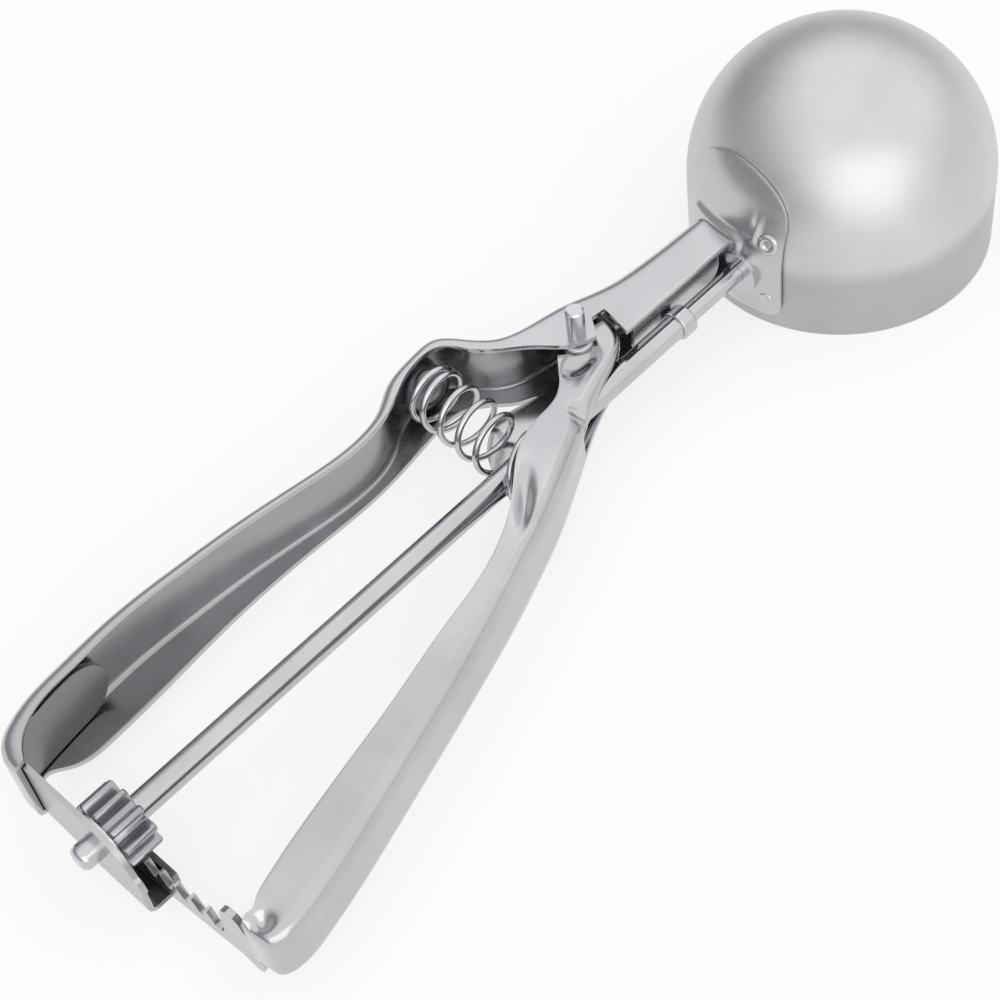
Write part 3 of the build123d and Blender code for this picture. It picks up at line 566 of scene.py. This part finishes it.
def rack_sheet():
    """Front face over the distance along the rack and a share up from the bottom line to
    the top line. The top line is straight-flanked teeth, then the tab's rounded step."""
    run = np.unique(np.r_[np.linspace(rack_start, finer_from, 330),
                          np.linspace(finer_from, rack_end, 150)])
    off = np.abs((run - first_tooth + tooth_pitch / 2) % tooth_pitch - tooth_pitch / 2)
    top = np.clip(tip_z - (off - tooth_half_top) / flank_slope, root_z, tip_z)
    top = np.where(run > teeth_end, root_z, top)
    tab = [(tab_start, root_z), (22.4, -6.9), (22.9, -5.4), (23.2, -2.5), (23.5, 0.6), (24.2, 2.2),
           (25.4, 2.9), (26.8, 2.7), (27.9, 1.7), (28.5, 0.2), (29.2, -0.6), (30.4, -0.4),
           (31.6, 1.0), (rack_end, 2.0)]
    top = np.where(run > tab_start, np.interp(run, *zip(*tab)), top)
    foot = [(-4, backing_z), (25.4, backing_z), (26.4, -11.0), (27.6, -11.75), (28.8, -12.0),
            (29.8, -11.6), (30.25, -10.6), (30.4, -6.3), (30.7, -6.0), (rack_end, -6.2)]
    bottom = np.interp(run, *zip(*foot))
    share = np.linspace(0, 1, 7)[:, None]
    z = bottom + (top - bottom) * share
    x = np.broadcast_to(rack_x + run * np.sin(rack_tilt), z.shape)
    y = np.broadcast_to(-run * np.cos(rack_tilt), z.shape)
    return np.stack([x, y, z], axis=-1)


rack = sheet_walls(grid_piece("rack_plate", rack_sheet(), flip=True), rack_sheet_thickness,
                   edge=0.00012, offset=0.0)
rack.data.polygons.foreach_set("use_smooth", np.zeros(len(rack.data.polygons), bool))
rack.data.materials.append(metal("blanked_rack_steel", (0.55, 0.56, 0.57), 0.27, 0.04,
                                 (600, 200, 600), 0.000002))
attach(rack, "lever")

# ---- pivot -------------------------------------------------------------------
# A turned steel pin stands above the upper ear and is peened below the lower one. Bright
# washers space the moving handle's eyes from the ears.
pivot_place = np.array([-64.2, 7.75, 0.0])
washer_ring = [(1.75, 5.32), (1.75, 5.98), (2.6, 5.98), (2.75, 5.85), (2.75, 5.45), (2.6, 5.32),
               (1.75, 5.32)]
washer = grid_piece("pivot_washer_ring", turned(washer_ring, pivot_place, upright, 64),
                    round_columns=True)
washer.data.materials.append(bright_steel)
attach(washer, "frame")
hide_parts("upper_pivot_washer")
dress(bright_steel, "pivot_pin", "lower_pivot_washer")

# ---- return spring -----------------------------------------------------------
# Round steel wire 1.2 mm thick: a closed coil at the fixed handle, four open ones, half a
# turn with a long step that carries it over the drive shaft, and a last coil on the shelf.
wire_radius, coil_radius, turns = 0.6, 5.2, 6.5
closed_coil, half_step = 1.3, 3.55           # rise of the first coil, half the long step's


def spring_wire():
    """Tube of wire_radius round the coil's line. At each turn the line stands coil_radius
    from the spring's axis, at the distance along it that the pitch gives; the tube's ring
    stands across the line's own direction and shrinks to nothing at both ends."""
    length = np.linalg.norm(spring_low - spring_top)
    crossing = length * spring_top[1] / (spring_top[1] - spring_low[1])
    turn = np.linspace(0, turns, 520)
    along = np.interp(turn, [0, 1, 5, 5.5, 6.5],
                      [0, closed_coil, crossing - half_step, crossing + half_step, length])
    soft = np.ones(25) / 25
    along = np.convolve(np.pad(along, 12, mode="edge"), soft, mode="valid")
    across = np.cross(upright, spring_axis)
    angle = 2 * np.pi * turn[:, None]
    outward = np.cos(angle) * across + np.sin(angle) * np.array(upright)
    line = spring_top + along[:, None] * spring_axis + coil_radius * outward
    ahead = np.gradient(line, axis=0)
    ahead /= np.linalg.norm(ahead, axis=1)[:, None]
    side = np.cross(ahead, outward)
    side /= np.linalg.norm(side, axis=1)[:, None]
    outward = np.cross(side, ahead)
    round_wire = np.linspace(0, 2 * np.pi, 16, endpoint=False)
    full = np.full(len(turn), wire_radius)
    ends = np.minimum(np.arange(len(turn)), np.arange(len(turn))[::-1])
    full = full * np.sqrt(np.clip(1 - (1 - np.minimum(ends / 3.0, 1)) ** 2, 0, 1))
    ring = (np.cos(round_wire)[None, :, None] * outward[:, None]
            + np.sin(round_wire)[None, :, None] * side[:, None])
    return line[:, None] + full[:, None, None] * ring


spring = grid_piece("spring_wire", spring_wire(), round_columns=True)
spring.data.materials.append(metal("drawn_spring_steel", (0.62, 0.62, 0.64), 0.12, 0.04,
                                   (900, 900, 900), 0.000004))
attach(spring, "frame")
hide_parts("return_spring")

# ---- drive shaft, blade rod and collar ---------------------------------------
# Ground and polished steel rod from the tail to a crimped collar. The collar holds a thinner
# rod that goes on through the bush into the bowl.
drawn_steel = metal("drawn_shaft_steel", (0.58, 0.58, 0.60), 0.14, 0.05,
                    (60, 1400, 1400), 0.000005)
dress(drawn_steel, "drive_shaft", "blade_rod", "crimp_collar")

# ---- pinion ------------------------------------------------------------------
# A cast and tumbled ten-tooth steel wheel, pressed on the shaft, with a thin washer between
# it and the cross plate.
pinion_low, pinion_high, pinion_teeth = -181.95, -175.55, 10
pinion_root, tooth_height, pinion_bore = 4.15, 2.4, 2.3
face_round, face_scale = 0.3, 0.96           # eased edge of each end face


def pinion_wheel():
    """The wheel's outside and its two end faces: radius over the angle is a rounded tooth wave
    between root and tip, and the outline is carried from face to face with eased edges and
    down to the shaft, which fills the bore."""
    angle = np.linspace(0, 2 * np.pi, 400, endpoint=False)
    wave = np.cos(pinion_teeth * (angle + np.pi / 2))
    radius = pinion_root + tooth_height * eased(wave, -0.38, 0.92)
    stations = [(pinion_low, pinion_bore, 0), (pinion_low, face_scale, 1),
                (pinion_low + face_round, 1.0, 1), (pinion_high - face_round, 1.0, 1),
                (pinion_high, face_scale, 1), (pinion_high, pinion_bore, 0)]
    rows = []
    for x, scale, toothed in stations:
        ring = radius * scale if toothed else np.full_like(angle, scale)
        rows.append(np.c_[np.full_like(angle, x), ring * np.cos(angle), ring * np.sin(angle)])
    return np.array(rows)


pinion = grid_piece("pinion_wheel", pinion_wheel(), round_columns=True)
eased_edges(pinion, 0.00012, 40)
pinion.data.materials.append(metal("cast_pinion_steel", (0.42, 0.42, 0.44), 0.22, 0.08,
                                   (900, 900, 900), 0.00002))
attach(pinion, "drive")
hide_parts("pinion")
dress(bright_steel, "pinion_washer")

# ---- scraper blade -----------------------------------------------------------
# A curved strip of sheet steel that follows the bowl's inside. A small boss fixes it to the
# rod, and its other end turns on the rivet in the bowl's far wall.
dress(satin_steel, "scraper_blade", "blade_hub")

# ---- view: floor, studio and camera ------------------------------------------
# The scoop lies on its bowl's rim on a flat pale card. The stronger soft lamp stands low in
# front, a weak one behind, and the studio is bright overhead and darker at its walls.
floor_mesh = bpy.data.meshes.new("floor")
floor_mesh.from_pydata([(-3, -3, 0), (3, -3, 0), (3, 3, 0), (-3, 3, 0)], [], [(0, 1, 2, 3)])
floor = bpy.data.objects.new("floor", floor_mesh)
bpy.context.scene.collection.objects.link(floor)
white_share = 0.78                           # of the card where it is seen; the rest is shaded
card = bpy.data.materials.new("white_card")
card.use_nodes = True
tree = card.node_tree
card_shader = tree.nodes["Principled BSDF"]
card_shader.inputs["Base Color"].default_value = (0.93, 0.93, 0.93, 1)
card_shader.inputs["Roughness"].default_value = 1.0
card_shader.inputs["Specular IOR Level"].default_value = 0.0
glow = tree.nodes.new("ShaderNodeEmission")
glow.inputs["Color"].default_value = (0.99, 0.99, 0.99, 1)
path = tree.nodes.new("ShaderNodeLightPath")
seen = path.outputs["Is Camera Ray"]
for ray in ("Is Glossy Ray", "Is Transmission Ray"):
    either = tree.nodes.new("ShaderNodeMath")
    either.operation = "MAXIMUM"
    tree.links.new(seen, either.inputs[0])
    tree.links.new(path.outputs[ray], either.inputs[1])
    seen = either.outputs["Value"]
part_white = tree.nodes.new("ShaderNodeMath")
part_white.operation = "MULTIPLY"
part_white.inputs[1].default_value = white_share
tree.links.new(seen, part_white.inputs[0])
blend = tree.nodes.new("ShaderNodeMixShader")
tree.links.new(part_white.outputs["Value"], blend.inputs["Fac"])
tree.links.new(card_shader.outputs["BSDF"], blend.inputs[1])
tree.links.new(glow.outputs["Emission"], blend.inputs[2])
tree.links.new(blend.outputs["Shader"], tree.nodes["Material Output"].inputs["Surface"])
floor.data.materials.append(card)

world = bpy.data.worlds.new("studio")
bpy.context.scene.world = world
world.use_nodes = True
sky = world.node_tree
height_of = sky.nodes.new("ShaderNodeVectorMath")
height_of.operation = "DOT_PRODUCT"
height_of.inputs[1].default_value = (0.10, -0.38, 0.92)
direction = sky.nodes.new("ShaderNodeTexCoord")
sky.links.new(direction.outputs["Generated"], height_of.inputs[0])
ceiling = sky.nodes.new("ShaderNodeValToRGB")
ceiling.color_ramp.interpolation = "EASE"
ceiling.color_ramp.elements[0].position = 0.0
ceiling.color_ramp.elements[0].color = (0.34, 0.34, 0.35, 1)
ceiling.color_ramp.elements[1].position = 0.75
ceiling.color_ramp.elements[1].color = (1.0, 1.0, 1.0, 1)
for level, shade in ((0.16, 0.46), (0.45, 0.80)):
    stop = ceiling.color_ramp.elements.new(level)
    stop.color = (shade, shade, shade * 1.02, 1)
sky.links.new(height_of.outputs["Value"], ceiling.inputs["Fac"])
sky.links.new(ceiling.outputs["Color"], sky.nodes["Background"].inputs["Color"])
sky.nodes["Background"].inputs["Strength"].default_value = 1.12


def softbox(name, spot, target, size, power):
    """Rectangular soft lamp at spot, turned to face target."""
    lamp = bpy.data.lights.new(name, "AREA")
    lamp.shape = "RECTANGLE"
    lamp.size, lamp.size_y = size
    lamp.energy = power
    holder = bpy.data.objects.new(name, lamp)
    away = (Vector(spot) - Vector(target)).normalized()
    facing = away.to_track_quat("Z", "Y").to_matrix().to_4x4()
    holder.matrix_world = Matrix.Translation(spot) @ facing
    bpy.context.scene.collection.objects.link(holder)


softbox("front_softbox", (-0.50, -0.82, 0.52), (0.07, 0, 0.01), (1.3, 0.95), 2.6)
softbox("back_softbox", (0.45, 0.45, 0.60), (0, 0, 0), (0.6, 0.5), 0.25)

look_at = Vector((-0.01678, 0.00164, 0.01221))
view_azimuth = radians(-38.75)
view_elevation = radians(51.72)
view_roll = radians(-9.77)
view_distance = 0.3538
lens = 75.34                    # millimetres on a 36 mm wide picture
backward = Vector((sin(view_azimuth) * cos(view_elevation),
                   -cos(view_azimuth) * cos(view_elevation), sin(view_elevation)))
level_right = Vector((0, 0, 1)).cross(backward).normalized()
level_up = backward.cross(level_right)
right = cos(view_roll) * level_right + sin(view_roll) * level_up
up = cos(view_roll) * level_up - sin(view_roll) * level_right
camera_data = bpy.data.cameras.new("camera")
camera_data.lens = lens
camera_data.sensor_width = 36.0
camera_data.clip_start = 0.01
camera = bpy.data.objects.new("camera", camera_data)
bpy.context.scene.collection.objects.link(camera)
turn = Matrix((right, up, backward)).transposed().to_4x4()
camera.matrix_world = Matrix.Translation(look_at + backward * view_distance) @ turn
bpy.context.scene.camera = camera
bpy.context.scene.view_settings.view_transform = "Standard"
